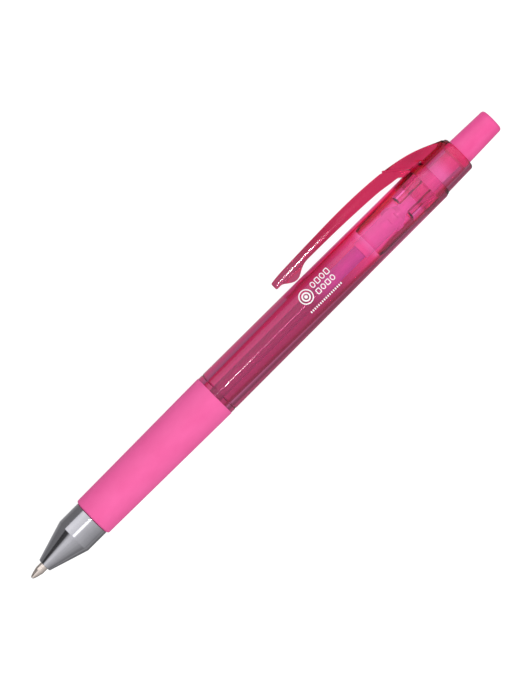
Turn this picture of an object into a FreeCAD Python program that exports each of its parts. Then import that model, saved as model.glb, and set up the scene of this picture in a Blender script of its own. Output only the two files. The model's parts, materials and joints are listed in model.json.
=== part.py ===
import FreeCAD, Part
import math
import os

# A click-action ball pen, in millimetres. Everything is first made in the pen's own axes: X runs along it
# from the writing point to the push button, +Y points to the clip and +Z to its side. The last lines lay
# the pen down.

# Driving dimensions along the pen
PEN_LENGTH = 144.0
NOSE_FRONT = 4.0
NOSE_COLLAR = 13.2
GRIP_FRONT = 19.0
GRIP_REAR = 57.3
BARREL_REAR = 125.9
CAP_REAR = 133.7
GUIDE_FRONT = 105.0
GUIDE_REAR = 123.1
RIB_FRONT = 115.9
CLIP_TIP = 83.5
CLIP_FOOT_FRONT = 120.2
CLIP_FOOT_REAR = 122.4

# Driving radii
COLLAR_R = 4.5
GRIP_FRONT_R = 4.95
GRIP_REAR_R = 5.33
BARREL_FRONT_R = 5.23
BARREL_REAR_R = 5.0
GRIP_SEAT_R = 4.1
NECK_R = 3.68
BORE_R = 3.5
FRONT_BORE_R = 3.2
GUIDE_R = 4.2
GUIDE_BORE_R = 3.3
RIB_R = 2.38
WING_R = 2.88
STEM_R = 1.37
SHAFT_R = 2.2
ROTOR_R = 2.19
TUBE_R = 1.7
INK_R = 1.25
POINT_R = 1.05
BALL_R = 0.35
CLIP_CREST = 9.6
CLIP_HALF_WIDTH = 2.1
CLIP_CORNER = 0.8

# Fits and gaps
RUNNING = 0.06
GAP = 0.05
PART_LINE = 0.1

# The moving assembly: how far the refill draws back, and the widths of the wings and ribs
TRAVEL = 4.4
WING_HALF_ANGLE = 16.0
RIB_HALF_ANGLE = 20.0
WINGS = 4

AXIS = FreeCAD.Vector(1, 0, 0)
ORIGIN = FreeCAD.Vector(0, 0, 0)


def point(x, y, z=0.0):
    return FreeCAD.Vector(x, y, z)


def outline(corners):
    """A closed wire in the XY plane. Each corner is (x, y) or (x, y, r), where r rounds it with an arc."""
    starts, ends, arcs = [], [], []
    for i, corner in enumerate(corners):
        here = point(*corner[:2])
        before = point(*corners[i - 1][:2]) - here
        after = point(*corners[(i + 1) % len(corners)][:2]) - here
        before.normalize()
        after.normalize()
        radius = corner[2] if len(corner) > 2 else 0.0
        half = before.getAngle(after) / 2
        back = radius / math.tan(half)
        starts.append(here + before * back)
        ends.append(here + after * back)
        middle = (before + after) * (0.5 / math.cos(half)) if radius else ORIGIN
        arcs.append(here + middle * (radius / math.sin(half) - radius))
    edges = []
    for i, corner in enumerate(corners):
        if len(corner) > 2:
            edges.append(Part.Arc(starts[i], arcs[i], ends[i]).toShape())
        edges.append(Part.LineSegment(ends[i], starts[(i + 1) % len(corners)]).toShape())
    return Part.Wire(edges)


def turned(corners):
    """A solid of revolution about the pen's axis, from its outline of (x, radius) corners."""
    return Part.Face(outline(corners)).revolve(ORIGIN, AXIS, 360)


def sector(corners, half_angle, middle_angle):
    """A slice of a solid of revolution, such as a rib or a wing, half_angle to each side of middle_angle."""
    piece = Part.Face(outline(corners)).revolve(ORIGIN, AXIS, 2 * half_angle)
    piece.rotate(ORIGIN, AXIS, middle_angle - half_angle)
    return piece


def crown(corners, half_angle, first_angle):
    """Equal sectors spaced evenly round the pen."""
    return [sector(corners, half_angle, first_angle + 360.0 / WINGS * i) for i in range(WINGS)]


def tube(x0, x1, outer, inner):
    return turned([(x0, inner), (x0, outer), (x1, outer), (x1, inner)])


def barrel_radius(x):
    """The barrel's outer radius, which tapers from the grip to the rear."""
    share = (x - GRIP_REAR) / (BARREL_REAR - GRIP_REAR)
    return BARREL_FRONT_R + (BARREL_REAR_R - BARREL_FRONT_R) * share


# Outside shells


def nose_cone():
    mouth_r = POINT_R + 0.15
    thread_x = 13.8
    seat_x = 12.6
    return turned([
        (NOSE_FRONT, mouth_r), (NOSE_FRONT, 1.66, 0.22), (NOSE_COLLAR, COLLAR_R, 1.2),
        (GRIP_FRONT - GAP, COLLAR_R, 0.15), (GRIP_FRONT - GAP, NECK_R), (thread_x, NECK_R),
        (thread_x, 2.45), (seat_x, 2.45), (seat_x, 1.75), (8.2, 1.75), (7.2, mouth_r),
    ])


def barrel():
    neck_x = 13.9
    taper_x = GUIDE_FRONT - 9.0
    chamfer_x = BARREL_REAR - 1.1
    groove_x = GRIP_REAR + 1.25
    ring = barrel_radius(groove_x)
    shell = turned([
        (neck_x, FRONT_BORE_R), (neck_x, NECK_R, 0.2), (GRIP_FRONT, NECK_R), (GRIP_FRONT, GRIP_SEAT_R),
        (GRIP_REAR, GRIP_SEAT_R), (GRIP_REAR, BARREL_FRONT_R, 0.12),
        (groove_x - 0.2, ring), (groove_x, ring - 0.14), (groove_x + 0.2, ring),
        (chamfer_x, barrel_radius(chamfer_x), 0.6), (BARREL_REAR, GUIDE_R + 0.45),
        (BARREL_REAR, GUIDE_R), (GUIDE_FRONT, GUIDE_R, 0.3), (taper_x, BORE_R, 6.0),
    ])
    foot_top = CLIP_HINGE_Y - PART_LINE / 2
    foot = Part.makeBox(
        CLIP_FOOT_REAR - CLIP_FOOT_FRONT, foot_top - GUIDE_R - 0.3, 2 * CLIP_HALF_WIDTH,
        point(CLIP_FOOT_FRONT, GUIDE_R + 0.3, -CLIP_HALF_WIDTH),
    )
    return shell.fuse(foot).removeSplitter()


def grip_sleeve():
    return turned([
        (GRIP_FRONT, GRIP_SEAT_R), (GRIP_FRONT, GRIP_FRONT_R, 0.5), (GRIP_REAR, GRIP_REAR_R, 0.18),
        (GRIP_REAR, GRIP_SEAT_R),
    ])


def cam_guide():
    sleeve = turned([
        (GUIDE_FRONT, GUIDE_BORE_R), (GUIDE_FRONT, GUIDE_R, 0.4), (GUIDE_REAR, GUIDE_R),
        (GUIDE_REAR, GUIDE_BORE_R),
    ])
    rib = [
        (RIB_FRONT + 0.5, RIB_R), (RIB_FRONT, GUIDE_BORE_R - 0.3), (RIB_FRONT, GUIDE_BORE_R + 0.2),
        (GUIDE_REAR, GUIDE_BORE_R + 0.2), (GUIDE_REAR, RIB_R),
    ]
    return sleeve.fuse(crown(rib, RIB_HALF_ANGLE, 45.0)).removeSplitter()


def end_cap():
    cavity_r = 3.6
    hole_r = 3.45
    end_wall_x = CAP_REAR - 1.9
    body = turned([
        (GUIDE_REAR + GAP, cavity_r), (GUIDE_REAR + GAP, GUIDE_R), (BARREL_REAR + GAP, GUIDE_R),
        (BARREL_REAR + GAP, 4.6), (CAP_REAR, 4.42, 0.75), (CAP_REAR, hole_r, 0.1),
        (end_wall_x, hole_r), (end_wall_x, cavity_r),
    ])
    fin = fin_block().cut(turned([(100, 0), (100, 5.2), (BARREL_REAR + GAP, 5.0 + GAP),
                                  (BARREL_REAR + GAP, 0)]))
    bore = Part.makeCylinder(cavity_r + 0.2, 40, point(110, 0, 0), AXIS)
    return body.fuse(fin.cut(bore)).removeSplitter()


# The clip's side view: outer and inner curves as (x, y), shared by the clip and the cap's fin
CLIP_OUTER = [(CLIP_TIP, 8.75), (86.5, 9.05), (95.0, 9.38), (105.5, CLIP_CREST), (113.5, 9.37),
              (120.5, 8.65), (126.5, 7.25), (133.0, 4.55)]
CLIP_INNER = [(CLIP_TIP, 6.95), (103.0, 6.85), (113.5, 6.4), (118.0, 5.8), (CLIP_FOOT_FRONT, 5.7)]
NUB = [(85.2, 7.3), (85.2, 6.95), (87.3, 5.34, 0.5), (88.6, 5.34, 0.9), (91.2, 6.6, 1.5), (93.2, 6.95),
       (93.2, 7.3)]
NUB_HALF_WIDTH = 1.2
CLIP_HINGE_Y = 5.6
SLOT_X = 118.0
SLOT_WIDTH = 0.5
FIN_REAR = 132.9
FIN_FOOT_Y = 3.0


def spline(points):
    curve = Part.BSplineCurve()
    curve.interpolate([point(*p) for p in points])
    return curve


def outer_part(x0, x1):
    """The edge of the clip's outer curve between two places along the pen."""
    curve = spline(CLIP_OUTER)
    cuts = []
    for x in (x0, x1):
        line = Part.LineSegment(point(x, 0), point(x, 20)).toShape()
        near = curve.toShape().distToShape(line)[1][0][0]
        cuts.append(curve.parameter(near))
    return curve.toShape(cuts[0], cuts[1])


def middle_of(edge):
    return edge.valueAt((edge.FirstParameter + edge.LastParameter) / 2)


def side_plate(edges):
    """A plate of the clip's side view, as wide as the clip, with its two outer edges rounded."""
    face = Part.Face(Part.Wire(Part.__sortEdges__(edges)))
    face.translate(point(0, 0, -CLIP_HALF_WIDTH))
    plate = face.extrude(point(0, 0, 2 * CLIP_HALF_WIDTH))
    curved = [e for e in plate.Edges if isinstance(e.Curve, Part.BSplineCurve)]
    outer = sorted(curved, key=lambda e: middle_of(e).y)[-2:]
    return plate.makeFillet(CLIP_CORNER, outer)


def line(a, b):
    return Part.LineSegment(point(*a), point(*b)).toShape()


def ends_of(edge):
    a, b = edge.Vertexes[0].Point, edge.Vertexes[-1].Point
    return sorted([(a.x, a.y), (b.x, b.y)])


def slot_line(outer):
    """The slanted end of the clip: from the end of its outer edge down to the rear of its foot."""
    top = point(*ends_of(outer)[1])
    bottom = point(CLIP_FOOT_REAR, CLIP_HINGE_Y + PART_LINE / 2)
    return top, bottom


def clip():
    outer = outer_part(CLIP_TIP, SLOT_X)
    inner = spline(CLIP_INNER).toShape()
    (tip_in, rear_in), (tip_out, _) = ends_of(inner), ends_of(outer)
    top, bottom = slot_line(outer)
    foot_front = (CLIP_FOOT_FRONT, bottom.y)
    arm = side_plate([
        outer, line((top.x, top.y), (bottom.x, bottom.y)), line((bottom.x, bottom.y), foot_front),
        line(foot_front, rear_in), inner, line(tip_in, tip_out),
    ])
    nub = Part.Face(outline(NUB)).extrude(point(0, 0, 2 * NUB_HALF_WIDTH))
    nub.translate(point(0, 0, -NUB_HALF_WIDTH))
    return arm.fuse(nub).removeSplitter()


def fin_block():
    """The end cap's fin: it carries the clip's outer curve on down to the cap's rear, past an open slot."""
    top, bottom = slot_line(outer_part(CLIP_TIP, SLOT_X))
    along = (bottom - top).normalize()
    across = point(-along.y, along.x) * SLOT_WIDTH
    high, low = top + across - along, bottom + across
    low += along * ((low.y - FIN_FOOT_Y) / -along.y)
    meeting = spline(CLIP_OUTER).intersect(Part.LineSegment(high, low))[0]
    outer = outer_part(meeting.X, FIN_REAR)
    front, rear = ends_of(outer)
    return side_plate([
        outer, line(rear, (FIN_REAR, FIN_FOOT_Y)), line((FIN_REAR, FIN_FOOT_Y), (low.x, low.y)),
        line((low.x, low.y), front),
    ])


# The click mechanism


def push_button():
    front_x = CAP_REAR - 2.0
    return turned([
        (front_x, SHAFT_R), (front_x, 2.9, 0.1), (front_x + 0.5, 3.28, 0.2), (PEN_LENGTH, 2.92, 0.7),
        (PEN_LENGTH, 0), (PEN_LENGTH - 3.5, 0), (PEN_LENGTH - 3.5, SHAFT_R),
    ])


def plunger():
    front_x = RIB_FRONT - 0.3 + TRAVEL
    socket_end = front_x + 10.6
    bore_r = STEM_R + RUNNING
    shaft = turned([
        (front_x, bore_r), (front_x, SHAFT_R - 0.1), (front_x + 0.4, SHAFT_R),
        (PEN_LENGTH - 3.6, SHAFT_R, 0.3), (PEN_LENGTH - 3.6, 0), (socket_end, 0), (socket_end, bore_r),
    ])
    wing = [(front_x + 0.1, 1.9), (front_x + 0.9, WING_R), (GUIDE_REAR - 0.4, WING_R, 0.3),
            (GUIDE_REAR, 1.9)]
    return shaft.fuse(crown(wing, WING_HALF_ANGLE, 0.0)).removeSplitter()


def cam_rotor():
    front_x = 102.6
    socket_end = 108.2
    wing_front = 111.8
    wing_rear = RIB_FRONT - 0.4
    stem_end = 124.4
    body = turned([
        (front_x, TUBE_R + RUNNING), (front_x, ROTOR_R, 0.2), (wing_rear - 0.9, ROTOR_R, 0.3),
        (wing_rear, STEM_R), (stem_end, STEM_R, 0.3), (stem_end, 0), (socket_end, 0),
        (socket_end, TUBE_R + RUNNING),
    ])
    wing = [(wing_front, 1.9), (wing_front, WING_R, 0.15), (wing_rear - 1.9, WING_R, 0.4),
            (wing_rear - 0.1, 1.5), (wing_rear - 0.9, 1.4)]
    return body.fuse(crown(wing, WING_HALF_ANGLE, 0.0)).removeSplitter()


# The refill

FLANGE_X = 30.0
INK_REAR = 88.0


def tip_holder():
    return turned([
        (9.0, POINT_R), (9.0, 1.45, 0.15), (FLANGE_X, 1.45), (FLANGE_X, 2.3, 0.1),
        (FLANGE_X + 1.2, 2.3, 0.1), (FLANGE_X + 1.2, INK_R), (FLANGE_X + 6.0, INK_R, 0.2),
        (FLANGE_X + 6.0, 0.7), (13.0, 0.7), (13.0, POINT_R),
    ])


def refill_tube():
    return tube(FLANGE_X + 1.2, 108.0, TUBE_R, INK_R)


def ink_column():
    return Part.makeCylinder(INK_R, INK_REAR - FLANGE_X - 6.0, point(FLANGE_X + 6.0, 0, 0), AXIS)


def ink_follower():
    return Part.makeCylinder(INK_R, 3.0, point(INK_REAR, 0, 0), AXIS)


def writing_tip():
    seat_r = BALL_R + 0.02
    duct_r = 0.3
    shank = turned([
        (0.2, 0), (0.2, 0.41, 0.05), (1.1, 0.72, 2.0), (2.4, POINT_R, 2.0), (13.0, POINT_R), (13.0, 0),
    ])
    seat = Part.makeSphere(seat_r, point(BALL_R, 0, 0))
    duct = Part.makeCylinder(duct_r, 14.0, point(BALL_R, 0, 0), AXIS)
    return shank.cut(seat.fuse(duct))


def tip_ball():
    return Part.makeSphere(BALL_R, point(BALL_R, 0, 0))


def return_spring():
    wire_r = 0.175
    coil_r = 2.0
    x0, x1 = 12.62 + wire_r, FLANGE_X - GAP - wire_r
    pitch = 1.7
    path = Part.makeHelix(pitch, x1 - x0, coil_r)
    section = Part.Wire(Part.makeCircle(wire_r, point(coil_r, 0, 0), point(0, 1, 0)))
    coil = Part.Wire(path).makePipeShell([section], True, True)
    coil.rotate(ORIGIN, point(0, 1, 0), 90)
    coil.translate(point(x0, 0, 0))
    return coil


# The pen lies on a table, on its grip and on the lower corner of its clip, so it is rolled about its axis
REST_HEIGHT = GRIP_REAR_R
corner_y = CLIP_CREST - CLIP_CORNER
corner_z = CLIP_HALF_WIDTH - CLIP_CORNER
ROLL = math.degrees(
    math.asin((REST_HEIGHT - CLIP_CORNER) / math.hypot(corner_y, corner_z)) - math.atan2(corner_z, corner_y)
)
reach = corner_y * math.cos(math.radians(ROLL)) + corner_z * math.sin(math.radians(ROLL)) + CLIP_CORNER
SHIFT = point(-PEN_LENGTH / 2, (GRIP_REAR_R - reach) / 2, REST_HEIGHT)

NODES = [nose_cone, barrel, grip_sleeve, cam_guide, end_cap, clip, push_button, plunger, cam_rotor,
         tip_holder, refill_tube, ink_column, ink_follower, writing_tip, tip_ball, return_spring]

os.makedirs("parts", exist_ok=True)
for make in NODES:
    shape = make()
    shape.rotate(ORIGIN, AXIS, -ROLL)
    shape.translate(SHIFT)
    shape.exportStep(f"parts/{make.__name__}.step")
    print(f"{make.__name__:14} {shape.ShapeType:9} valid {shape.isValid()} volume {shape.Volume:8.2f}")
print(f"roll {ROLL:.3f} shift {SHIFT.x:.3f} {SHIFT.y:.3f} {SHIFT.z:.3f}")
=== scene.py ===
import json
import math

import bmesh
import bpy
import numpy as np
from mathutils import Matrix, Vector


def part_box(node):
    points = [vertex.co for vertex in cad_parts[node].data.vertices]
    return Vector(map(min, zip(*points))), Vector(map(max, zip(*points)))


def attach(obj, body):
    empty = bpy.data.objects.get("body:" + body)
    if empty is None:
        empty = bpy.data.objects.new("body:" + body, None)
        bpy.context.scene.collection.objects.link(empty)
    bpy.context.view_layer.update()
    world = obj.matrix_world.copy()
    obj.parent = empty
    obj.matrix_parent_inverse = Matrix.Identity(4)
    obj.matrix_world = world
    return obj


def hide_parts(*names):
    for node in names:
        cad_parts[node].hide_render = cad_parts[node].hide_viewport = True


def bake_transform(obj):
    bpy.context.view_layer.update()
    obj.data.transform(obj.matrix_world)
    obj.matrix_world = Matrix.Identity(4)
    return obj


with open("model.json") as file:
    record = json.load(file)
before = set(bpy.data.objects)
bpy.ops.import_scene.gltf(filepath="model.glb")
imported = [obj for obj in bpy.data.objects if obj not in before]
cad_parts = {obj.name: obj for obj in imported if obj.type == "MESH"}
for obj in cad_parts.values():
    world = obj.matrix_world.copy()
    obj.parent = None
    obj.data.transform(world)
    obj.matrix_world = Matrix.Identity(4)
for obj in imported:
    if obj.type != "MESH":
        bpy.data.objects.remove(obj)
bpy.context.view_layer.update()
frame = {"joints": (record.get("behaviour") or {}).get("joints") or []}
print("frame loaded")

# The pen's own axes, in millimetres from the writing point: x runs to the button, y to the clip and z to
# the viewer's side
mm = 0.001
ballLow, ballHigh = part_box("tip_ball")
penTip = Vector((ballLow.x, (ballLow.y + ballHigh.y) / 2, (ballLow.z + ballHigh.z) / 2))
clipJoint = next(j for j in frame["joints"] if j["name"] == "clip_flex")
alongPen = Vector((1, 0, 0))
towardViewer = -Vector(clipJoint["axis"]).normalized()
towardClip = towardViewer.cross(alongPen)
penAxes = np.array([alongPen, towardClip, towardViewer])


def toWorld(points):
    return np.asarray(points, float) * mm @ penAxes + np.array(penTip)


def spanOf(node):
    low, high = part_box(node)
    return (low.x - penTip.x) / mm, (high.x - penTip.x) / mm


def radiusOf(node):
    low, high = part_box(node)
    return (high.z - low.z) / 2 / mm


# A piece from pen points and faces, which are turned outwards. Points that fall together, as at a pole,
# become one unless they are kept apart. With an angle given, edges are smooth up to that angle.
def pieceOf(name, points, faces, merge=True, sharp=None):
    mesh = bpy.data.meshes.new(name)
    mesh.from_pydata(toWorld(points), [], faces)
    work = bmesh.new()
    work.from_mesh(mesh)
    if merge:
        bmesh.ops.remove_doubles(work, verts=work.verts, dist=1e-7)
    bmesh.ops.recalc_face_normals(work, faces=work.faces)
    work.to_mesh(mesh)
    work.free()
    if sharp:
        mesh.polygons.foreach_set("use_smooth", np.ones(len(mesh.polygons), bool))
        mesh.set_sharp_from_angle(angle=math.radians(sharp))
    piece = bpy.data.objects.new(name, mesh)
    bpy.context.scene.collection.objects.link(piece)
    return piece


# A piece from a grid of pen points: each row runs round and closes, and the rows close too if told to
def gridPiece(name, grid, closeRows=False, capEnds=False, sharp=35):
    rows, columns = grid.shape[:2]
    i = np.arange(rows if closeRows else rows - 1)[:, None]
    j = np.arange(columns)[None, :]
    nextI, nextJ = (i + 1) % rows, (j + 1) % columns
    corners = (i * columns + j, nextI * columns + j, nextI * columns + nextJ, i * columns + nextJ)
    faces = np.stack(corners, -1).reshape(-1, 4).tolist()
    if capEnds:
        faces += [list(range(columns)), list(range((rows - 1) * columns, rows * columns))]
    return pieceOf(name, grid.reshape(-1, 3), faces, sharp=sharp)


# Points of an outline through (x, radius, rounding) corners. Each corner becomes an arc tangent to both its
# sides: its centre lies on the bisector, rounding / sin(half the angle) away, and it turns through 180
# degrees less the angle.
def roundedOutline(corners, rounding=0.04, steps=7):
    given = np.array([(*corner, rounding)[:3] for corner in corners], float)
    here, radius = given[:, :2], given[:, 2:3]
    before = np.roll(here, 1, 0) - here
    after = np.roll(here, -1, 0) - here
    before /= np.linalg.norm(before, axis=1, keepdims=True)
    after /= np.linalg.norm(after, axis=1, keepdims=True)
    half = np.arccos(np.clip((before * after).sum(1, keepdims=True), -1, 1)) / 2
    bisector = (before + after) / np.linalg.norm(before + after, axis=1, keepdims=True)
    centre = here + bisector * radius / np.sin(half)
    first = here + before * radius / np.tan(half) - centre
    last = here + after * radius / np.tan(half) - centre
    turn = math.pi - 2 * half
    t = np.linspace(0, 1, steps)[:, None, None]
    arcs = centre + (np.sin((1 - t) * turn) * first + np.sin(t * turn) * last) / np.sin(turn)
    points = arcs.transpose(1, 0, 2).reshape(-1, 2)
    keep = np.linalg.norm(points - np.roll(points, 1, 0), axis=1) > 1e-6
    return points[keep]


# A surface of revolution: every outline point (x, r) goes to (x, r cos a, r sin a) at even angles a
def lathe(name, corners, rounding=0.04, turns=160, longest=2.5):
    line = roundedOutline(corners, rounding)
    ahead = np.roll(line, -1, 0)
    parts = np.maximum(np.ceil(np.linalg.norm(ahead - line, axis=1) / longest), 1).astype(int)
    start = np.repeat(np.arange(len(line)), parts)
    share = (np.arange(parts.sum()) - np.repeat(np.cumsum(parts) - parts, parts)) / parts[start]
    line = line[start] + (ahead[start] - line[start]) * share[:, None]
    a = np.linspace(0, 2 * math.pi, turns, endpoint=False)
    x, r = line[:, :1], np.maximum(line[:, 1:], 0)
    grid = np.stack([x + 0 * a, r * np.cos(a), r * np.sin(a)], -1)
    return gridPiece(name, grid, closeRows=True)


# A surface of revolution with ribs or wings. Within half of a wing's centre, the outer radius is the larger
# of body and wing, and the inner one is the smaller of bore and rib. Angles crowd at the wings' sides,
# which fall away over 0.8 degrees.
def winged(name, body, wing, bore, rib, half, middle, count=4):
    flank = np.array([-half - 0.8, -half, half, half + 0.8])
    fill = np.linspace(half + 3, 360 / count - half - 3, 8)
    one = np.concatenate([flank, np.linspace(-half + 2, half - 2, 7), fill])
    angles = np.sort(np.concatenate([one + middle + 360 / count * k for k in range(count)]) % 360)
    off = np.abs((angles - middle + 180 / count) % (360 / count) - 180 / count)
    within = off <= half + 1e-6

    # Places along the axis, and the radius at every angle: the plain line, or over the wings the one that
    # is picked
    def rows(line, extra, pick):
        line, extra = np.array(line, float), np.array(extra or [], float).reshape(-1, 2)
        if not len(extra):
            return line[:, 0], np.repeat(line[:, 1:], len(angles), 1)
        order = line[:, 0] if line[0, 0] < line[-1, 0] else line[::-1, 0]
        plain = line[:, 1] if line[0, 0] < line[-1, 0] else line[::-1, 1]
        edges = np.concatenate([extra[:, 0], extra[:1, 0] - 0.02, extra[-1:, 0] + 0.02])
        x = np.unique(np.concatenate([order, edges, np.linspace(*extra[[0, -1], 0], 12)]))
        base = np.interp(x, order, plain)
        more = np.interp(x, *extra.T)
        inside = (x >= extra[0, 0] - 1e-9) & (x <= extra[-1, 0] + 1e-9)
        r = np.where(inside[:, None] & within[None, :], pick(base, more)[:, None], base[:, None])
        return (x, r) if line[0, 0] < line[-1, 0] else (x[::-1], r[::-1])

    outX, outR = rows(body, wing, np.maximum)
    inX, inR = rows(bore, rib, np.minimum)
    x, r = np.concatenate([outX, inX]), np.concatenate([outR, inR])
    a = np.radians(angles)
    grid = np.stack([x[:, None] + 0 * a, r * np.cos(a), r * np.sin(a)], -1)
    return gridPiece(name, grid, closeRows=True, sharp=30)


# A smooth line through points, as a Catmull-Rom curve: each span is a cubic whose end slopes follow its
# neighbours
def smoothLine(points, perSpan=12):
    p = np.array(points, float)
    p = np.concatenate([2 * p[:1] - p[1:2], p, 2 * p[-1:] - p[-2:-1]])
    t = np.linspace(0, 1, perSpan, endpoint=False)[None, :, None]
    a, b, c, d = p[:-3, None], p[1:-2, None], p[2:-1, None], p[3:, None]
    spans = b + t * (c - a) / 2 + t**2 * (a - 2.5 * b + 2 * c - d / 2) + t**3 * (1.5 * (b - c) + (d - a) / 2)
    return np.concatenate([spans.reshape(-1, p.shape[1]), p[-2:-1]])


# The same line as points at even distances
def evenly(line, count):
    run = np.concatenate([[0], np.cumsum(np.linalg.norm(np.diff(line, axis=0), axis=1))])
    at = np.linspace(0, run[-1], count)
    return np.stack([np.interp(at, run, line[:, k]) for k in range(line.shape[1])], 1)


def smoothstep(x, low, high):
    t = np.clip((x - low) / (high - low), 0, 1)
    return t * t * (3 - 2 * t)


def finish(name):
    mat = bpy.data.materials.new(name)
    mat.use_nodes = True
    nodes = mat.node_tree.nodes
    return mat, nodes, mat.node_tree.links, nodes["Principled BSDF"]


# Noise on the piece's own place, stretched along the pen by the given sizes in millimetres
def grain(nodes, links, size, detail=3.0, roughness=0.55):
    place = nodes.new("ShaderNodeTexCoord")
    stretch = nodes.new("ShaderNodeMapping")
    stretch.inputs["Scale"].default_value = [1 / (s * mm) for s in size]
    noise = nodes.new("ShaderNodeTexNoise")
    noise.inputs["Scale"].default_value = 1.0
    noise.inputs["Detail"].default_value = detail
    noise.inputs["Roughness"].default_value = roughness
    links.new(place.outputs["Object"], stretch.inputs["Vector"])
    links.new(stretch.outputs["Vector"], noise.inputs["Vector"])
    return noise.outputs["Fac"]


# A value moved from one range to another and held within it. A grain lies mostly between 0.3 and 0.7.
def between(nodes, links, value, low, high, fromLow=0.3, fromHigh=0.7):
    ramp = nodes.new("ShaderNodeMapRange")
    ramp.inputs["From Min"].default_value = fromLow
    ramp.inputs["From Max"].default_value = fromHigh
    ramp.inputs["To Min"].default_value = low
    ramp.inputs["To Max"].default_value = high
    links.new(value, ramp.inputs["Value"])
    return ramp.outputs["Result"]


def mixed(nodes, links, factor, one, other):
    mix = nodes.new("ShaderNodeMix")
    mix.data_type = "RGBA"
    links.new(factor, mix.inputs["Factor"])
    for socket, colour in ((mix.inputs["A"], one), (mix.inputs["B"], other)):
        if isinstance(colour, bpy.types.NodeSocket):
            links.new(colour, socket)
        else:
            socket.default_value = (*colour, 1)
    return mix.outputs["Result"]

# Two colours mottled together by a grain
def mottled(nodes, links, noise, one, other):
    return mixed(nodes, links, between(nodes, links, noise, 0, 1), one, other)


# A row of greys along a value. Each stop is (place, grey), with the places in the value's own units.
def greys(nodes, links, value, stops, smooth="LINEAR"):
    first, last = stops[0][0], stops[-1][0]
    ramp = nodes.new("ShaderNodeValToRGB")
    ramp.color_ramp.interpolation = smooth
    for k, (place, grey) in enumerate(stops):
        at = (place - first) / (last - first)
        element = ramp.color_ramp.elements[k] if k < 2 else ramp.color_ramp.elements.new(at)
        element.position = at
        element.color = (grey, grey, min(grey * 1.01, 1), 1)
    links.new(between(nodes, links, value, 0, 1, first, last), ramp.inputs["Fac"])
    return ramp.outputs["Color"]


# How far along the pen a point lies between two places: 0 at the first and 1 at the second
def alongBetween(nodes, links, first, second):
    place = nodes.new("ShaderNodeTexCoord")
    split = nodes.new("ShaderNodeSeparateXYZ")
    links.new(place.outputs["Object"], split.inputs[0])
    return between(nodes, links, split.outputs["X"], 0, 1, penTip.x + first * mm, penTip.x + second * mm)


# Bump from a height, with its depth in millimetres
def relief(nodes, links, shader, height, depth, strength):
    bump = nodes.new("ShaderNodeBump")
    bump.inputs["Strength"].default_value = strength
    bump.inputs["Distance"].default_value = depth * mm
    links.new(height, bump.inputs["Height"])
    links.new(bump.outputs["Normal"], shader.inputs["Normal"])


chrome = {"bright": (0.50, 0.495, 0.53), "dull": (0.45, 0.445, 0.48), "polish": 0.10, "wear": 0.17}


def chromePlate():
    mat, nodes, links, shader = finish("chromePlate")
    shader.inputs["Metallic"].default_value = 1.0
    haze = grain(nodes, links, (3, 5, 5), 4)
    lines = grain(nodes, links, (0.05, 6, 6), 2)
    links.new(mottled(nodes, links, haze, chrome["bright"], chrome["dull"]), shader.inputs["Base Color"])
    links.new(between(nodes, links, haze, chrome["polish"], chrome["wear"]), shader.inputs["Roughness"])
    relief(nodes, links, shader, lines, 0.001, 0.25)
    return mat


rubber = {"skin": (0.78, 0.110, 0.335), "worn": (0.74, 0.092, 0.300), "polish": 0.48, "wear": 0.66,
          "sheen": 0.06, "sheenTint": (1.0, 0.6, 0.75, 1)}


def softGrip():
    mat, nodes, links, shader = finish("softGrip")
    cloud = grain(nodes, links, (6, 4, 4), 4)
    pores = grain(nodes, links, (0.09, 0.09, 0.09), 2)
    links.new(mottled(nodes, links, cloud, rubber["skin"], rubber["worn"]), shader.inputs["Base Color"])
    links.new(between(nodes, links, pores, rubber["polish"], rubber["wear"]), shader.inputs["Roughness"])
    shader.inputs["Specular IOR Level"].default_value = 0.35
    shader.inputs["Sheen Weight"].default_value = rubber["sheen"]
    shader.inputs["Sheen Roughness"].default_value = 0.4
    shader.inputs["Sheen Tint"].default_value = rubber["sheenTint"]
    relief(nodes, links, shader, pores, 0.012, 0.35)
    return mat


# The "rim" tint is painted shade for faces that slant away from the view
clear = {
    "ior": 1.49, "shade": (1.0, 0.93, 0.965), "barrel": (0.96, 0.22, 0.50), "thin": (0.985, 0.50, 0.76),
    "cap": (0.965, 0.36, 0.62), "thick": (0.95, 0.035, 0.15), "nub": (0.96, 0.14, 0.32),
    "rim": (0.94, 0.035, 0.17), "rimShadeSlant": (0.25, 0.50), "streak": 0.94, "polish": 0.02, "wear": 0.07,
}
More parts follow.
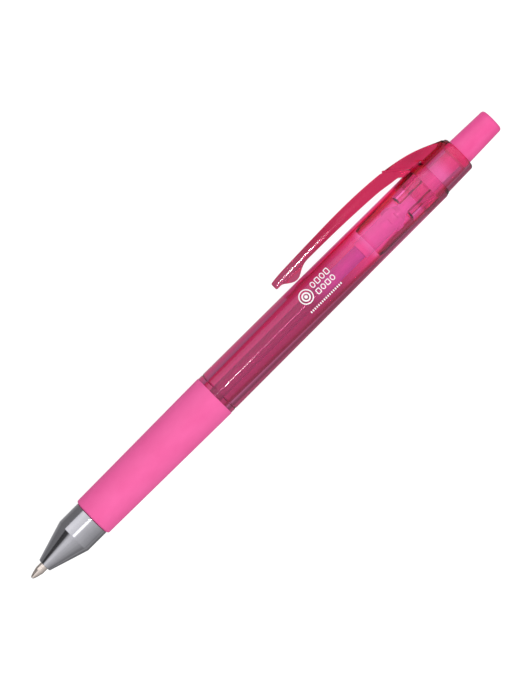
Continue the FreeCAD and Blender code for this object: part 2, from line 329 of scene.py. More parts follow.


# Tinted clear plastic: what passes is coloured at each face, and lamps shine in through it, a little
# tinted. Where the wall thins along the pen, from one place to the other, the tint passes over to a lighter
# one. Where a face slants away the tint passes over to the rim's darker one: painted shade at the rim,
# standing in for the longer way through the wall. The mirror's strength sets how bright the reflections
# on it are.
def clearPlastic(name, tint, lighter=None, thins=(0, 1), mirror=0.8):
    mat, nodes, links, shader = finish(name)
    flow = grain(nodes, links, (14, 2.5, 2.5), 3)
    fine = grain(nodes, links, (6, 0.5, 0.5), 3)
    colour = mottled(nodes, links, flow, tint, tuple(c * clear["streak"] for c in tint))
    if lighter:
        colour = mixed(nodes, links, alongBetween(nodes, links, *thins), colour, lighter)
    # Painted shade: the colour deepens toward the rim as the face slants away from the view
    slant = nodes.new("ShaderNodeLayerWeight")
    slant.inputs["Blend"].default_value = 0.5
    colour = mixed(nodes, links, between(nodes, links, slant.outputs["Facing"], 0, 1, *clear["rimShadeSlant"]),
                   colour, clear["rim"])
    links.new(colour, shader.inputs["Base Color"])
    links.new(between(nodes, links, fine, clear["polish"], clear["wear"]), shader.inputs["Roughness"])
    shader.inputs["Specular Tint"].default_value = (mirror, mirror, mirror, 1)
    shader.inputs["Transmission Weight"].default_value = 1.0
    shader.inputs["IOR"].default_value = clear["ior"]
    relief(nodes, links, shader, fine, 0.0008, 0.05)
    lamp = nodes.new("ShaderNodeLightPath")
    through = nodes.new("ShaderNodeBsdfTransparent")
    through.inputs["Color"].default_value = (*clear["shade"], 1)
    either = nodes.new("ShaderNodeMixShader")
    links.new(lamp.outputs["Is Shadow Ray"], either.inputs["Fac"])
    links.new(shader.outputs["BSDF"], either.inputs[1])
    links.new(through.outputs["BSDF"], either.inputs[2])
    links.new(either.outputs["Shader"], nodes["Material Output"].inputs["Surface"])
    return mat


# Opaque plastic. Between two places along the pen its colour may pass over to a deeper one.
def mouldedPlastic(name, colour, darker, rough=(0.28, 0.42), deeper=None, deepens=(0, 1)):
    mat, nodes, links, shader = finish(name)
    cloud = grain(nodes, links, (4, 3, 3), 4)
    spark = grain(nodes, links, (0.12, 0.12, 0.12), 2)
    shade = mottled(nodes, links, cloud, colour, darker)
    if deeper:
        shade = mixed(nodes, links, alongBetween(nodes, links, *deepens), shade, deeper)
    links.new(shade, shader.inputs["Base Color"])
    links.new(between(nodes, links, spark, *rough), shader.inputs["Roughness"])
    shader.inputs["Specular IOR Level"].default_value = 0.3
    relief(nodes, links, shader, spark, 0.006, 0.2)
    return mat


def turnedMetal(name, colour, darker, rough=(0.18, 0.34)):
    mat, nodes, links, shader = finish(name)
    shader.inputs["Metallic"].default_value = 1.0
    rings = grain(nodes, links, (0.06, 4, 4), 3)
    links.new(mottled(nodes, links, rings, colour, darker), shader.inputs["Base Color"])
    links.new(between(nodes, links, rings, *rough), shader.inputs["Roughness"])
    relief(nodes, links, shader, rings, 0.003, 0.3)
    return mat


milky = {"filled": (0.38, 0.18, 0.30), "streak": (0.33, 0.15, 0.26), "empty": (0.62, 0.38, 0.78),
         "fades": (87, 93), "polish": 0.12, "wear": 0.22}


# The tube looks dark where it is filled, and lighter past the ink's end
def milkyTube():
    mat, nodes, links, shader = finish("milkyTube")
    flow = grain(nodes, links, (20, 1, 1), 3)
    filled = mottled(nodes, links, flow, milky["filled"], milky["streak"])
    links.new(mixed(nodes, links, alongBetween(nodes, links, *milky["fades"]), filled, milky["empty"]),
              shader.inputs["Base Color"])
    links.new(between(nodes, links, flow, milky["polish"], milky["wear"]), shader.inputs["Roughness"])
    return mat


def printInk(name, colour, darker):
    mat, nodes, links, shader = finish(name)
    speck = grain(nodes, links, (0.08, 0.08, 0.08), 2)
    links.new(mottled(nodes, links, speck, colour, darker), shader.inputs["Base Color"])
    shader.inputs["Roughness"].default_value = 0.45
    relief(nodes, links, shader, speck, 0.004, 0.3)
    return mat


# A piece's finish, its body, its slot and the CAD nodes that it stands in for; the slot is not used. One
# that bends between two bodies is given none here.
def dress(piece, body, material, slot, *nodes):
    piece.data.materials.append(material)
    if body:
        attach(piece, body)
    if nodes:
        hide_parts(*nodes)


chromeMat = chromePlate()
gripMat = softGrip()
barrelMat = clearPlastic("clearBarrel", clear["barrel"], clear["thin"], (103.5, 106.0))
guideMat = clearPlastic("clearGuide", clear["thin"])
capMat = clearPlastic("clearCap", clear["cap"])
clipMat = clearPlastic("clearClip", clear["thick"], clear["nub"], (98, 89), mirror=0.25)
pinkMat = mouldedPlastic("pinkPlastic", (0.78, 0.085, 0.30), (0.73, 0.070, 0.265))
palePinkMat = mouldedPlastic("palePinkPlastic", (0.95, 0.62, 0.90), (0.91, 0.57, 0.86),
                             deeper=(0.84, 0.20, 0.46), deepens=(127.5, 130))
pointMat = turnedMetal("pointMetal", (0.80, 0.71, 0.66), (0.68, 0.59, 0.53))
ballMat = turnedMetal("ballSteel", (0.55, 0.54, 0.53), (0.45, 0.44, 0.43), (0.08, 0.16))
springMat = turnedMetal("springSteel", (0.50, 0.50, 0.52), (0.40, 0.40, 0.42), (0.2, 0.35))
tubeMat = milkyTube()
inkMat = mouldedPlastic("wetInk", (0.30, 0.02, 0.12), (0.24, 0.01, 0.09), (0.05, 0.10))
greaseMat = mouldedPlastic("greasePlug", (0.70, 0.64, 0.55), (0.62, 0.56, 0.48), (0.08, 0.15))
holderMat = mouldedPlastic("holderPlastic", (0.70, 0.67, 0.63), (0.64, 0.61, 0.57))
whitePrint = printInk("whitePrint", (0.88, 0.86, 0.87), (0.82, 0.78, 0.80))
print("finishes made")

noseFront, noseRear = spanOf("nose_cone")
gripFront, gripRear = spanOf("grip_sleeve")
capFront, capRear = spanOf("end_cap")
barrelFront, barrelRear = spanOf("barrel")
guideFront, guideRear = spanOf("cam_guide")
buttonFront, buttonRear = spanOf("push_button")

nose = {"collarX": 13.2, "collarR": 4.5, "frontR": 1.66, "mouthR": 1.2, "mouth": 3.2, "ductR": 1.75,
        "duct": 4.2, "springR": 2.45, "springSeat": 8.6, "boreR": 3.68, "boreEnd": 9.8}
nosePiece = lathe("noseCone", [
    (noseFront, nose["mouthR"]), (noseFront, nose["frontR"], 0.22), (nose["collarX"], nose["collarR"], 1.2),
    (noseRear, nose["collarR"], 0.15), (noseRear, nose["boreR"]),
    (noseFront + nose["boreEnd"], nose["boreR"]), (noseFront + nose["boreEnd"], nose["springR"]),
    (noseFront + nose["springSeat"], nose["springR"]), (noseFront + nose["springSeat"], nose["ductR"]),
    (noseFront + nose["duct"], nose["ductR"]), (noseFront + nose["mouth"], nose["mouthR"]),
], turns=256)
dress(nosePiece, "housing", chromeMat, "chrome_nose", "nose_cone")

grip = {"frontR": 4.95, "rearR": 5.33, "innerR": 4.1}
gripPiece = lathe("gripSleeve", [
    (gripFront, grip["innerR"]), (gripFront, grip["frontR"], 0.5), (gripRear, grip["rearR"], 0.2),
    (gripRear, grip["innerR"]),
], turns=192)
dress(gripPiece, "housing", gripMat, "pink_rubber", "grip_sleeve")

barrel = {"frontR": 5.23, "rearR": 5.0, "boreR": 3.5, "frontBoreR": 3.2, "taper": 45.0, "taperBlend": 6.0,
          "neckR": 3.68, "seatR": 4.1, "guideR": 4.2, "wall": 0.45, "chamfer": 1.1, "grooveAfterGrip": 1.25,
          "grooveDepth": 0.14, "grooveHalf": 0.2}
grooveX = gripRear + barrel["grooveAfterGrip"]
grooveR = barrel["frontR"] - 0.004  # the radius has fallen by this much on the way to the narrower rear
barrelPiece = lathe("barrelShell", [
    (barrelFront, barrel["frontBoreR"]), (barrelFront, barrel["neckR"], 0.2), (gripFront, barrel["neckR"]),
    (gripFront, barrel["seatR"]), (gripRear, barrel["seatR"]), (gripRear, barrel["frontR"], 0.12),
    (grooveX - barrel["grooveHalf"], grooveR), (grooveX, grooveR - barrel["grooveDepth"]),
    (grooveX + barrel["grooveHalf"], grooveR), (barrelRear - barrel["chamfer"], barrel["rearR"], 0.5),
    (barrelRear, barrel["guideR"] + barrel["wall"]), (barrelRear, barrel["guideR"]),
    (guideFront, barrel["guideR"], 0.3),
    (guideFront - barrel["taper"], barrel["boreR"], barrel["taperBlend"]),
], turns=256)
dress(barrelPiece, "housing", barrelMat, "clear_crimson", "barrel")

cap = {"frontR": 4.6, "rearR": 4.42, "holeR": 3.45, "cavityR": 3.6, "endWall": 1.9, "gap": 0.05}
neckX = barrelRear + cap["gap"]
capPiece = lathe("endCap", [
    (capFront, cap["cavityR"]), (capFront, barrel["guideR"]), (neckX, barrel["guideR"]),
    (neckX, cap["frontR"]), (capRear, cap["rearR"], 0.75), (capRear, cap["holeR"], 0.1),
    (capRear - cap["endWall"], cap["holeR"]), (capRear - cap["endWall"], cap["cavityR"]),
], turns=224)
dress(capPiece, "housing", capMat, "clear_crimson", "end_cap")

guide = {"outerR": 4.2, "gap": 0.02, "boreR": 3.3, "lip": 0.30, "lipEnd": 1.2, "flare": 0.36,
         "flareEnd": 4.5, "ribFront": 115.9, "ribFrontR": 2.98, "ribR": 2.38, "ribHalf": 20,
         "ribSlope": 0.5, "firstRib": 45}
guidePiece = winged(
    "camGuide",
    [(guideFront, guide["outerR"] - guide["lip"]),
     (guideFront + guide["lipEnd"], guide["outerR"] - guide["gap"]),
     (guideRear, guide["outerR"] - guide["gap"])], None,
    [(guideRear, guide["boreR"]), (guideFront + guide["flareEnd"], guide["boreR"]),
     (guideFront, guide["outerR"] - guide["flare"])],
    [(guide["ribFront"], guide["ribFrontR"]), (guide["ribFront"] + guide["ribSlope"], guide["ribR"]),
     (guideRear, guide["ribR"])], guide["ribHalf"], guide["firstRib"])
dress(guidePiece, "housing", guideMat, "clear_crimson", "cam_guide")
print("housing made")


# A plate with rounded corners between an inner and an outer line. Every row is a section across it: u runs
# from the inner line (0) to the outer line (h) and z across. Corners are quarter circles, and the two end
# rows draw in by r - sqrt(r^2 - (r - d)^2) at a distance d from the end, which rounds the ends. The dip
# takes the inner side down by so many millimetres.
def plate(name, inner, outer, size, dip, rows=110):
    inner, outer = evenly(inner, rows), evenly(outer, rows)
    ends = [size["end"] * k for k in (0, 0.04, 0.14, 0.32, 0.6, 1.0)]
    length = np.linalg.norm(outer[-1] - outer[0])
    at = np.concatenate([ends, np.linspace(size["end"], length - size["end"], rows)[1:-1],
                         [length - e for e in ends[::-1]]])
    even = np.linspace(0, length, rows)
    low = np.stack([np.interp(at, even, inner[:, k]) for k in (0, 1)], 1)
    high = np.stack([np.interp(at, even, outer[:, k]) for k in (0, 1)], 1)
    away = np.minimum(np.minimum(at, length - at), size["end"])
    inset = (size["end"] - np.sqrt(size["end"]**2 - (size["end"] - away)**2))[:, None]
    h = np.linalg.norm(high - low, axis=1)[:, None]
    way = (high - low) / h
    w = size["half"] - inset
    rIn, rOut = size["innerCorner"] - inset / 2, size["outerCorner"] - inset / 2
    t = np.linspace(-1, 1, 49)[None, 1:-1]
    q = np.linspace(0, math.pi / 2, 7)[None, :]
    side = np.linspace(0, 1, 8)[None, 1:-1]
    base, top = inset, h - inset
    u = [base + 0 * t, base + rIn * (1 - np.cos(q)), base + rIn + (top - rOut - base - rIn) * side,
         top - rOut + rOut * np.sin(q), top + size["crown"] * (1 - t**2)]
    z = [(w - rIn) * t, w - rIn + rIn * np.sin(q), w + size["belly"] * np.sin(math.pi * side),
         w - rOut + rOut * np.cos(q), -(w - rOut) * t]
    u += [u[3][:, ::-1], u[2][:, ::-1], u[1][:, ::-1]]
    z += [-z[3][:, ::-1], -z[2][:, ::-1], -z[1][:, ::-1]]
    u, z = np.concatenate(u, 1), np.concatenate(z, 1)
    u = u - dip(low[:, :1] + 0 * z, z) * (1 - u / h) / way[:, 1:]
    grid = np.stack([low[:, :1] + way[:, :1] * u, low[:, 1:] + way[:, 1:] * u, z], -1)
    return gridPiece(name, grid, capEnds=True, sharp=50)


clip = {"half": 2.1, "outerCorner": 0.8, "innerCorner": 0.3, "end": 0.35, "crown": 0.03, "belly": 0.04,
        "slotX": 118.0, "slot": 0.5, "footRear": 122.4, "hingeY": 5.6, "nubHalf": 1.2,
        "sinks": (119.9, 120.6)}
clipFront = spanOf("clip")[0]
rim = smoothLine([
    (clipFront, 8.75), (86.5, 9.05), (95.0, 9.38), (105.5, 9.6), (113.5, 9.37), (120.5, 8.65), (126.5, 7.25),
    (133.0, 4.55),
], 30)
under = smoothLine([
    (clipFront, 6.95), (93, 6.95), (103, 6.85), (113.5, 6.4), (118.0, 5.84), (119.7, 5.62), (120.15, 5.45),
    (120.4, 5.2), (120.8, 5.03), (121.6, 5.0), (122.4, 5.02), (123.1, 5.1),
], 20)
nub = smoothLine([
    (85.0, 0), (85.4, 0.14), (86.1, 0.72), (86.9, 1.36), (87.6, 1.6), (88.4, 1.57), (89.3, 1.2),
    (90.6, 0.58), (91.9, 0.16), (93.2, 0),
], 10)


# The nub stands down from the arm within its own half width, and the foot follows the round of the barrel
def underClip(x, z):
    within = 1 - smoothstep(np.abs(z), clip["nubHalf"] - 0.25, clip["nubHalf"] + 0.12)
    bulge = np.interp(x, nub[:, 0], nub[:, 1], 0, 0) * within
    hollow = barrel["rearR"] - np.sqrt(barrel["rearR"]**2 - z**2)
    return bulge + smoothstep(x, *clip["sinks"]) * hollow


slotTop = np.array([clip["slotX"], np.interp(clip["slotX"], *rim.T)])
rimFront = np.concatenate([rim[rim[:, 0] < clip["slotX"]], [slotTop]])
clipPiece = plate("clipArm", under, rimFront, clip, underClip)

# The fin starts across a slot that slopes from the clip's crest to its foot, and it stands on the barrel
# and then on the cap
fin = dict(clip, end=0.12, innerCorner=0.12, belly=0.06, barrelY=5.08, capX=126.0, capY=4.5, capFall=0.02,
           slotFootY=5.12, rearX=132.9)
slotFoot = np.array([clip["footRear"], clip["hingeY"] + 0.05])
slope = (slotFoot - slotTop) / np.linalg.norm(slotFoot - slotTop)
lead = np.array([-slope[1], slope[0]])
slotFoot = slotFoot + lead * clip["slot"]
slotFoot = slotFoot + slope * (slotFoot[1] - fin["slotFootY"]) / -slope[1]
finTopX = rim[np.argmin(np.abs((rim - slotFoot) @ lead)), 0]
rimRear = rim[(rim[:, 0] >= finTopX) & (rim[:, 0] < fin["rearX"])]
footX = np.linspace(slotFoot[0], fin["rearX"], 40)
footY = np.where(footX < fin["capX"], fin["barrelY"], fin["capY"] - fin["capFall"] * (footX - fin["capX"]))


# The fin's foot follows the round of the barrel and of the cap
def underFin(x, z):
    reach = np.where(x < fin["capX"], fin["barrelY"], fin["capY"])
    return reach - np.sqrt(reach**2 - z**2)


finPiece = plate("capFin", np.stack([footX, footY], 1), rimRear, fin, underFin, rows=60)
dress(finPiece, "housing", clipMat, "clear_crimson")
dress(clipPiece, None, clipMat, "clear_crimson", "clip")
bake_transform(clipPiece)

# The web that joins the clip to the fin across the slot, a little narrower than both
web = dict(clip, half=1.75, end=0.02, innerCorner=0.25, outerCorner=0.5, crown=0.0, belly=0.0, gap=0.012,
           topDrop=0.3, footBack=0.64)
webTop = slotTop + slope * web["topDrop"]
webFoot = slotTop + slope * (slotTop[1] - fin["slotFootY"]) / -slope[1]
near, far = lead * web["gap"], lead * (clip["slot"] - web["gap"])
webPiece = plate("clipWeb", np.linspace(webFoot + near, webFoot + far + slope * web["footBack"], 5),
                 np.linspace(webTop + near, webTop + far, 5), web, underFin, rows=5)
dress(webPiece, None, clipMat, "clear_crimson")
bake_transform(webPiece)
print("clip and fin made")

button = {"footR": 2.9, "frontR": 3.28, "rearR": 2.92, "shaftR": 2.2, "bevel": 0.5, "endWall": 3.5}
buttonPiece = lathe("pushButton", [
    (buttonFront, button["shaftR"]), (buttonFront, button["footR"], 0.1),
    (buttonFront + button["bevel"], button["frontR"], 0.2), (buttonRear, button["rearR"], 0.7),
    (buttonRear, 0), (buttonRear - button["endWall"], 0), (buttonRear - button["endWall"], button["shaftR"]),
], turns=192)
dress(buttonPiece, "button", pinkMat, "pink_plastic", "push_button")

# A line whose places are counted from a start
def shifted(start, line):
    return [(start + x, radius) for x, radius in line]


# The inner line of a bore that is open at the front and closed at its end
def blindBore(front, size):
    end = front + size["boreEnd"]
    return [(end, 0), (end - 0.01, size["boreR"]), (front, size["boreR"])]


plungerFront, plungerRear = spanOf("plunger")
shaft = {"r": 2.2, "boreR": 1.43, "boreEnd": 10.6, "wingHalf": 16, "firstWing": 0,
         "wing": [(0.1, 1.9), (0.9, 2.88), (2.6, 2.88), (3.1, 2.1)]}
plungerPiece = winged(
    "plunger", [(plungerFront, shaft["r"] - 0.1), (plungerFront + 0.4, shaft["r"]),
                (plungerRear - 0.3, shaft["r"]), (plungerRear, shaft["r"] - 0.3), (plungerRear, 0)],
    shifted(plungerFront, shaft["wing"]), blindBore(plungerFront, shaft), None,
    shaft["wingHalf"], shaft["firstWing"])
dress(plungerPiece, "button", palePinkMat, "pink_plastic", "plunger")

rotorFront, rotorRear = spanOf("cam_rotor")
rotor = {"r": 2.19, "boreR": 1.76, "boreEnd": 5.6, "shoulder": 12.0, "stem": 12.9, "stemR": 1.37,
         "wingHalf": 16, "firstWing": 0, "wingX": 9.2,
         "wing": [(0, 1.9), (0.1, 2.88), (1.7, 2.88), (2.1, 2.4), (3.5, 1.5)]}
shoulderX = rotorFront + rotor["shoulder"]
rotorPiece = winged(
    "camRotor", [(rotorFront, rotor["r"] - 0.15), (rotorFront + 0.15, rotor["r"]),
                 (shoulderX - 0.2, rotor["r"]), (shoulderX, rotor["r"] - 0.2),
                 (rotorFront + rotor["stem"], rotor["stemR"]), (rotorRear - 0.3, rotor["stemR"]),
                 (rotorRear, rotor["stemR"] - 0.3), (rotorRear + 0.001, 0)],
    shifted(rotorFront + rotor["wingX"], rotor["wing"]), blindBore(rotorFront, rotor), None,
    rotor["wingHalf"], rotor["firstWing"])
dress(rotorPiece, "rotor", palePinkMat, "pink_plastic", "cam_rotor")
print("click mechanism made")

tube = {"r": 1.7, "boreR": 1.25}
inkR = tube["boreR"] - 0.01
tubeFront, tubeRear = spanOf("refill_tube")
tubePiece = lathe("refillTube", [(tubeFront, tube["boreR"]), (tubeFront, tube["r"]), (tubeRear, tube["r"]),
                                 (tubeRear, tube["boreR"])], 0.06, turns=64, longest=4)
dress(tubePiece, "refill", tubeMat, "natural_tube", "refill_tube")

inkFront, inkRear = spanOf("ink_column")
inkPiece = lathe("inkColumn", [(inkFront, 0), (inkFront, inkR), (inkRear, inkR), (inkRear, 0)], 0.05,
                 turns=48, longest=4)
dress(inkPiece, "refill", inkMat, "ink", "ink_column")

plugFront, plugRear = spanOf("ink_follower")
plugPiece = lathe("inkFollower", [(plugFront + 0.01, 0), (plugFront + 0.01, inkR), (plugRear, inkR, 0.3),
                                  (plugRear - 0.3, 0)], 0.05, turns=48)
dress(plugPiece, "refill", greaseMat, "grease", "ink_follower")

holderFront, holderRear = spanOf("tip_holder")
holder = {"boreR": 1.05, "boreEnd": 4, "noseR": 1.45, "flange": 1.2, "flangeR": 2.3, "plugR": 1.24,
          "ductR": 0.7}
flangeX = tubeFront - holder["flange"]
holderPiece = lathe("tipHolder", [
    (holderFront, holder["boreR"]), (holderFront, holder["noseR"], 0.15), (flangeX, holder["noseR"]),
    (flangeX, holder["flangeR"], 0.1), (tubeFront, holder["flangeR"], 0.1), (tubeFront, holder["plugR"]),
    (holderRear, holder["plugR"], 0.2), (holderRear, holder["ductR"]),
    (holderFront + holder["boreEnd"], holder["ductR"]), (holderFront + holder["boreEnd"], holder["boreR"]),
], turns=64)
dress(holderPiece, "refill", holderMat, "holder_plastic", "tip_holder")

tipFront, tipRear = spanOf("writing_tip")
tip = {"seatR": 0.33, "seatEnd": 0.6, "ductR": 0.3, "lipR": 0.41, "neck": 0.9, "neckR": 0.72, "cone": 2.2,
       "r": 1.05}
tipPiece = lathe("writingTip", [
    (tipFront, tip["seatR"], 0.01), (tipFront, tip["lipR"], 0.02),
    (tipFront + tip["neck"], tip["neckR"], 1.2), (tipFront + tip["cone"], tip["r"], 1.2),
    (tipRear, tip["r"]), (tipRear, tip["ductR"]), (tipFront + tip["seatEnd"], tip["ductR"]),
], 0.03, turns=96)
dress(tipPiece, "refill", pointMat, "point_metal", "writing_tip")

ballX = sum(spanOf("tip_ball")) / 2
ballR = radiusOf("tip_ball")
bend = np.linspace(0, math.pi, 25)[:, None]
a = np.linspace(0, 2 * math.pi, 40, endpoint=False)[None, :]
ringR = ballR * np.sin(bend)
ballPiece = gridPiece("tipBall", np.stack([
    ballX - ballR * np.cos(bend) + 0 * a, ringR * np.cos(a), ringR * np.sin(a)], -1))
dress(ballPiece, "ball", ballMat, "ball_steel", "tip_ball")

# The spring's wire follows a helix: its centre is at the coil's radius and angle, and moves on by the pitch
# each turn
spring = {"front": 12.795, "rear": 29.775, "coilR": 2.0, "wireR": 0.175, "pitch": 1.7}
turns = (spring["rear"] - spring["front"]) / spring["pitch"]
s = np.linspace(0, turns * 2 * math.pi, int(turns * 28))
out = np.stack([0 * s, np.cos(s), np.sin(s)], 1)
centre = out * spring["coilR"] + np.outer(spring["front"] + s * spring["pitch"] / (2 * math.pi), (1, 0, 0))
climb = spring["pitch"] / (2 * math.pi)
along = np.stack([climb + 0 * s, -np.sin(s) * spring["coilR"], np.cos(s) * spring["coilR"]], 1)
across = np.cross(along / np.linalg.norm(along, axis=1, keepdims=True), out)
b = np.linspace(0, 2 * math.pi, 12, endpoint=False)[None, :, None]
springPiece = gridPiece("returnSpring", centre[:, None] + spring["wireR"] * (
    np.cos(b) * out[:, None] + np.sin(b) * across[:, None]), capEnds=True, sharp=60)
dress(springPiece, None, springMat, "spring_steel", "return_spring")
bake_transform(springPiece)
print("refill made")


printLift = {"outer": 0.022, "inner": 0.006}


# Thin printed patches on the barrel. Each patch is a grid of places x along and y across, set on the barrel
# at a height z = sqrt(R^2 - y^2), where R is the barrel's radius and the lift of the outer or the inner
# face.
def printed(name, patches):
    vertices, faces, count = [], [], 0
    for x, y in patches:
        rows, columns = x.shape
        surface = np.interp(x, (gripRear, barrelRear - 1), (barrel["frontR"], barrel["rearR"]))
        for lift in (printLift["outer"], printLift["inner"]):
            vertices.append(np.stack([x, y, np.sqrt((surface + lift)**2 - y**2)], -1).reshape(-1, 3))
        n = np.arange(rows * columns).reshape(rows, columns)
        quads = np.stack([n[:-1, :-1], n[1:, :-1], n[1:, 1:], n[:-1, 1:]], -1).reshape(-1, 4)
        edge = np.concatenate([n[0, :-1], n[:-1, -1], n[-1, :0:-1], n[:0:-1, 0]])
        skirt = np.stack([edge, np.roll(edge, -1), np.roll(edge, -1) + n.size, edge + n.size], -1)
        faces += (np.concatenate([quads, quads[:, ::-1] + n.size, skirt]) + count).tolist()
        count += 2 * n.size
    return pieceOf(name, np.concatenate(vertices), faces, merge=False)


# A block with rounded corners: a superellipse whose half width at v across is (1 - |v|^n)^(1/n)
def block(x0, x1, y0, y1, power=8.0, steps=13):
    v = np.sin(np.linspace(-math.pi / 2, math.pi / 2, steps))[:, None]
    u = np.sin(np.linspace(-math.pi / 2, math.pi / 2, steps))[None, :]
    reach = np.maximum(1 - np.abs(v)**power, 1e-4)**(1 / power)
    return (x0 + x1) / 2 + (x1 - x0) / 2 * u * reach, (y0 + y1) / 2 + (y1 - y0) / 2 * v + 0 * u


# A rounded frame in two halves: the outer edge is a superellipse and the inner edge the same drawn in by
# the line's width, and the half with turns from 90 to 270 degrees meets the other one at both ends
def hoop(x, y, halfX, halfY, line, power=2.0, steps=25):
    halves = []
    for first in (-90, 90):
        turn = np.radians(np.linspace(first, first + 180, steps))[:, None]
        share = np.linspace(0, 1, 3)[None, :]
        c, s = np.cos(turn), np.sin(turn)
        u = np.sign(c) * np.abs(c)**(2 / power)
        v = np.sign(s) * np.abs(s)**(2 / power)
        halves.append((x + u * (halfX - line * share), y + v * (halfY - line * share)))
    return halves


badge = {"x": 86.95, "y": 1.25, "r": 1.72, "line": 0.26, "innerR": 1.05, "innerLine": 0.34, "dot": 0.4}
marks = hoop(badge["x"], badge["y"], badge["r"], badge["r"], badge["line"])
marks += hoop(badge["x"], badge["y"], badge["innerR"], badge["innerR"], badge["innerLine"])
marks.append(block(badge["x"] - badge["dot"], badge["x"] + badge["dot"], badge["y"] - badge["dot"],
                   badge["y"] + badge["dot"], 2.0))

# Two rows of small frames, each row's (middle, half height), where round and squarer ones take turns
frames = {"x": 89.85, "step": 1.42, "count": 4, "half": 0.56, "line": 0.2,
          "rows": ((2.15, 0.72), (0.25, 0.66)), "round": 2.0, "squarer": 5.0}
for row, (middle, half) in enumerate(frames["rows"]):
    for k in range(frames["count"]):
        power = frames["squarer"] if (k + row) % 2 else frames["round"]
        marks += hoop(frames["x"] + frames["step"] * k, middle, frames["half"], half, frames["line"], power)

dashes = {"x": 85.3, "step": 0.57, "count": 17, "long": 0.30, "low": -2.25, "high": -1.75}
for k in range(dashes["count"]):
    start = dashes["x"] + dashes["step"] * k
    marks.append(block(start, start + dashes["long"], dashes["low"], dashes["high"], 4.0, 7))
printPiece = printed("printedMark", marks)
dress(printPiece, "housing", whitePrint, "clear_crimson")
print("print made")

# The floor is near white to look at. To every other ray it is a painted glow of soft grey, no lamp, which
# the pen reflects and shows through: its brighter bands are painted light and its darker ones painted shade.
# The rows give that glow at places across the pen, in millimetres: "front" for most of its length, and
# "rear" for the stretch under the click mechanism. At places along the pen, "blend" is the share of the rear
# row.
floor = {"half": 0.9, "drop": 0.0002, "grey": (0.25, 0.25, 0.25), "darker": (0.24, 0.24, 0.243),
         "white": 0.88}
floorPaintedGlow = {
    "front": [(-60, 0.42), (-45, 0.40), (-27, 0.27), (-18, 0.20), (-12, 0.22), (-9, 0.42), (-4.5, 0.44),
              (-2.5, 0.58), (1, 0.56), (3, 0.44), (8, 0.27), (60, 0.27)],
    "rear": [(-60, 0.42), (-45, 0.40), (-27, 0.27), (-18, 0.22), (-12, 0.34), (-9.5, 1.0), (0.6, 1.0),
             (2.0, 0.62), (7, 0.60), (60, 0.40)],
    "blend": [(0, 0), (94, 0), (106, 1), (122, 1), (127, 0.1), (144, 0.1)],
}


def floorFinish():
    mat, nodes, links, shader = finish("paleFloor")
    tone = grain(nodes, links, (60, 60, 60), 2)
    links.new(mottled(nodes, links, tone, floor["grey"], floor["darker"]), shader.inputs["Base Color"])
    shader.inputs["Roughness"].default_value = 0.9
    shader.inputs["Specular IOR Level"].default_value = 0.1
    shader.inputs["Emission Color"].default_value = (1, 1, 1, 1)
    shader.inputs["Emission Strength"].default_value = floor["white"]
    place = nodes.new("ShaderNodeTexCoord")
    split = nodes.new("ShaderNodeSeparateXYZ")
    links.new(place.outputs["Object"], split.inputs[0])
    along = [(penTip.x + x * mm, share) for x, share in floorPaintedGlow["blend"]]
    front, rear = ([(y * mm, grey) for y, grey in floorPaintedGlow[row]] for row in ("front", "rear"))
    # Painted light and shade: a glow seen by every ray but the camera's, in the pen's reflections and
    # through it
    glow = nodes.new("ShaderNodeEmission")
    links.new(mixed(nodes, links, greys(nodes, links, split.outputs["X"], along),
                    greys(nodes, links, split.outputs["Y"], front),
                    greys(nodes, links, split.outputs["Y"], rear)), glow.inputs["Color"])
    path = nodes.new("ShaderNodeLightPath")
    either = nodes.new("ShaderNodeMixShader")
    links.new(path.outputs["Is Camera Ray"], either.inputs["Fac"])
    links.new(glow.outputs["Emission"], either.inputs[1])
    links.new(shader.outputs["BSDF"], either.inputs[2])
    links.new(either.outputs["Shader"], nodes["Material Output"].inputs["Surface"])
    return mat


floorMesh = bpy.data.meshes.new("floor")
floorMesh.from_pydata([(x * floor["half"], y * floor["half"], -floor["drop"])
                       for x, y in ((-1, -1), (1, -1), (1, 1), (-1, 1))], [], [(0, 1, 2, 3)])
floorMesh.materials.append(floorFinish())
floorPiece = bpy.data.objects.new("floor", floorMesh)
bpy.context.scene.collection.objects.link(floorPiece)

view = {"aim": (73.14, 0.21, 0), "distance": 0.848, "roll": 0.141, "lens": 200}
aimPoint = Vector(toWorld(view["aim"]))
viewRight = (alongPen - towardClip).normalized()
viewUp = (alongPen + towardClip).normalized()


# The angle is turned from the viewer's side away from the clip, and lift tilts the lamp's way along the pen
def lamp(name, angle, lift, far, size, power):
    way = Matrix.Rotation(math.radians(angle), 3, alongPen) @ towardViewer
    way = (way + alongPen * lift).normalized()
    light = bpy.data.lights.new(name, "AREA")
    light.shape = "RECTANGLE"
    light.size, light.size_y = size
    light.energy = power
    place = bpy.data.objects.new(name, light)
    side = way.cross(alongPen).normalized()
    turn = Matrix((side.cross(way), side, way)).transposed()
    place.matrix_world = Matrix.Translation(aimPoint + way * far) @ turn.to_4x4()
    bpy.context.scene.collection.objects.link(place)
    return place


# A lamp that lights only these pieces
def onlyOn(light, *pieces):
    lit = bpy.data.collections.new(light.name + "Pieces")
    for piece in pieces:
        lit.objects.link(piece)
    light.light_linking.receiver_collection = lit


lamp("spark", 1.5, -0.0217, 0.75, (0.030, 0.024), 0.17)
onlyOn(lamp("collarGlint", 0.0, -0.143, 0.75, (0.10, 0.17), 0.10), nosePiece)
onlyOn(lamp("clipGlint", -2.1, 0.036, 0.75, (0.034, 0.09), 1.1), clipPiece)
onlyOn(lamp("insideLight", 0.0, 0.0, 0.75, (0.60, 0.40), 0.6), plungerPiece, rotorPiece)
for name, angle, size, power in (("clipSide", -45, (0.60, 0.30), 1.2), ("lowSide", 66, (0.60, 0.40), 2.2)):
    soft = lamp(name, angle, 0.0, 0.70, size, power)
    soft.visible_glossy = False
    soft.visible_transmission = False

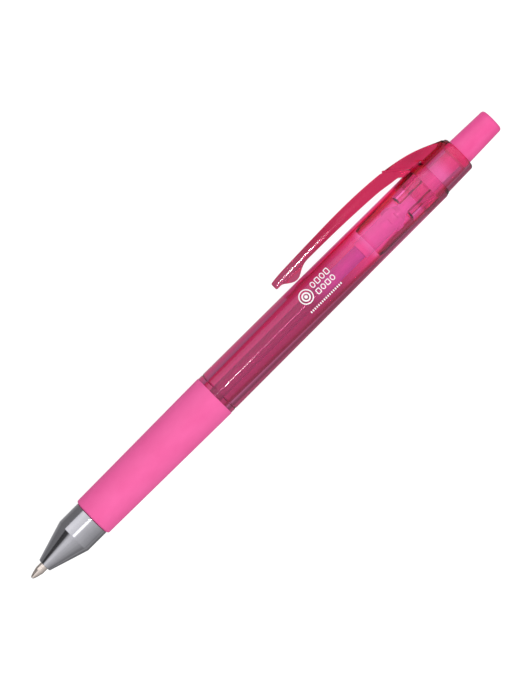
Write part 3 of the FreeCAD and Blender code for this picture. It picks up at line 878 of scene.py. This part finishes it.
# Soft light from all round, as a big tent with brighter and darker sides. The turn about the pen's axis,
# from the viewer's side (0) to the clip's side (90), picks the brightness, with one row for the sides and
# one toward the tip.
tentSide = [(-180, 0.03), (-126, 0.12), (-112, 0.17), (-95, 0.26), (-72, 0.31), (-46, 0.38), (-23, 0.44),
            (-9, 0.50), (0, 0.55), (9, 0.58), (23, 0.64), (46, 0.72), (68, 0.66), (105, 0.24), (126, 0.14),
            (180, 0.04)]
tentTip = [(-180, 0.05), (-104, 0.13), (-72, 0.26), (-46, 0.35), (-23, 0.42), (0, 0.55), (15, 0.55),
           (27, 0.36), (38, 0.04), (60, 0.03), (90, 0.10), (180, 0.05)]


def tentLight(strength):
    sky = bpy.data.worlds.new("tent")
    sky.use_nodes = True
    nodes, links = sky.node_tree.nodes, sky.node_tree.links
    place = nodes.new("ShaderNodeTexCoord")

    # How far the looked-in direction runs along an axis
    def part(axis):
        dot = nodes.new("ShaderNodeVectorMath")
        dot.operation = "DOT_PRODUCT"
        dot.inputs[1].default_value = axis
        links.new(place.outputs["Generated"], dot.inputs[0])
        return dot.outputs["Value"]

    angle = nodes.new("ShaderNodeMath")
    angle.operation = "ARCTAN2"
    links.new(part(towardClip), angle.inputs[0])
    links.new(part(towardViewer), angle.inputs[1])
    degrees = between(nodes, links, angle.outputs[0], -180, 180, -math.pi, math.pi)
    toTip = between(nodes, links, part(alongPen), 1, 0, -0.50, -0.28)
    rows = [greys(nodes, links, degrees, stops, "EASE") for stops in (tentSide, tentTip)]
    links.new(mixed(nodes, links, toTip, *rows), nodes["Background"].inputs["Color"])
    nodes["Background"].inputs["Strength"].default_value = strength
    return sky


bpy.context.scene.world = tentLight(1.95)
bpy.context.scene.view_settings.view_transform = "Standard"

cameraData = bpy.data.cameras.new("camera")
cameraData.lens = view["lens"]
cameraData.sensor_width = 36
camera = bpy.data.objects.new("camera", cameraData)
bpy.context.scene.collection.objects.link(camera)
turn = Matrix((viewRight, viewUp, towardViewer)).transposed().to_4x4()
camera.matrix_world = (Matrix.Translation(aimPoint + towardViewer * view["distance"]) @ turn
                       @ Matrix.Rotation(math.radians(view["roll"]), 4, "Z"))
cameraData.clip_end = 10
bpy.context.scene.camera = camera
print("setting made")
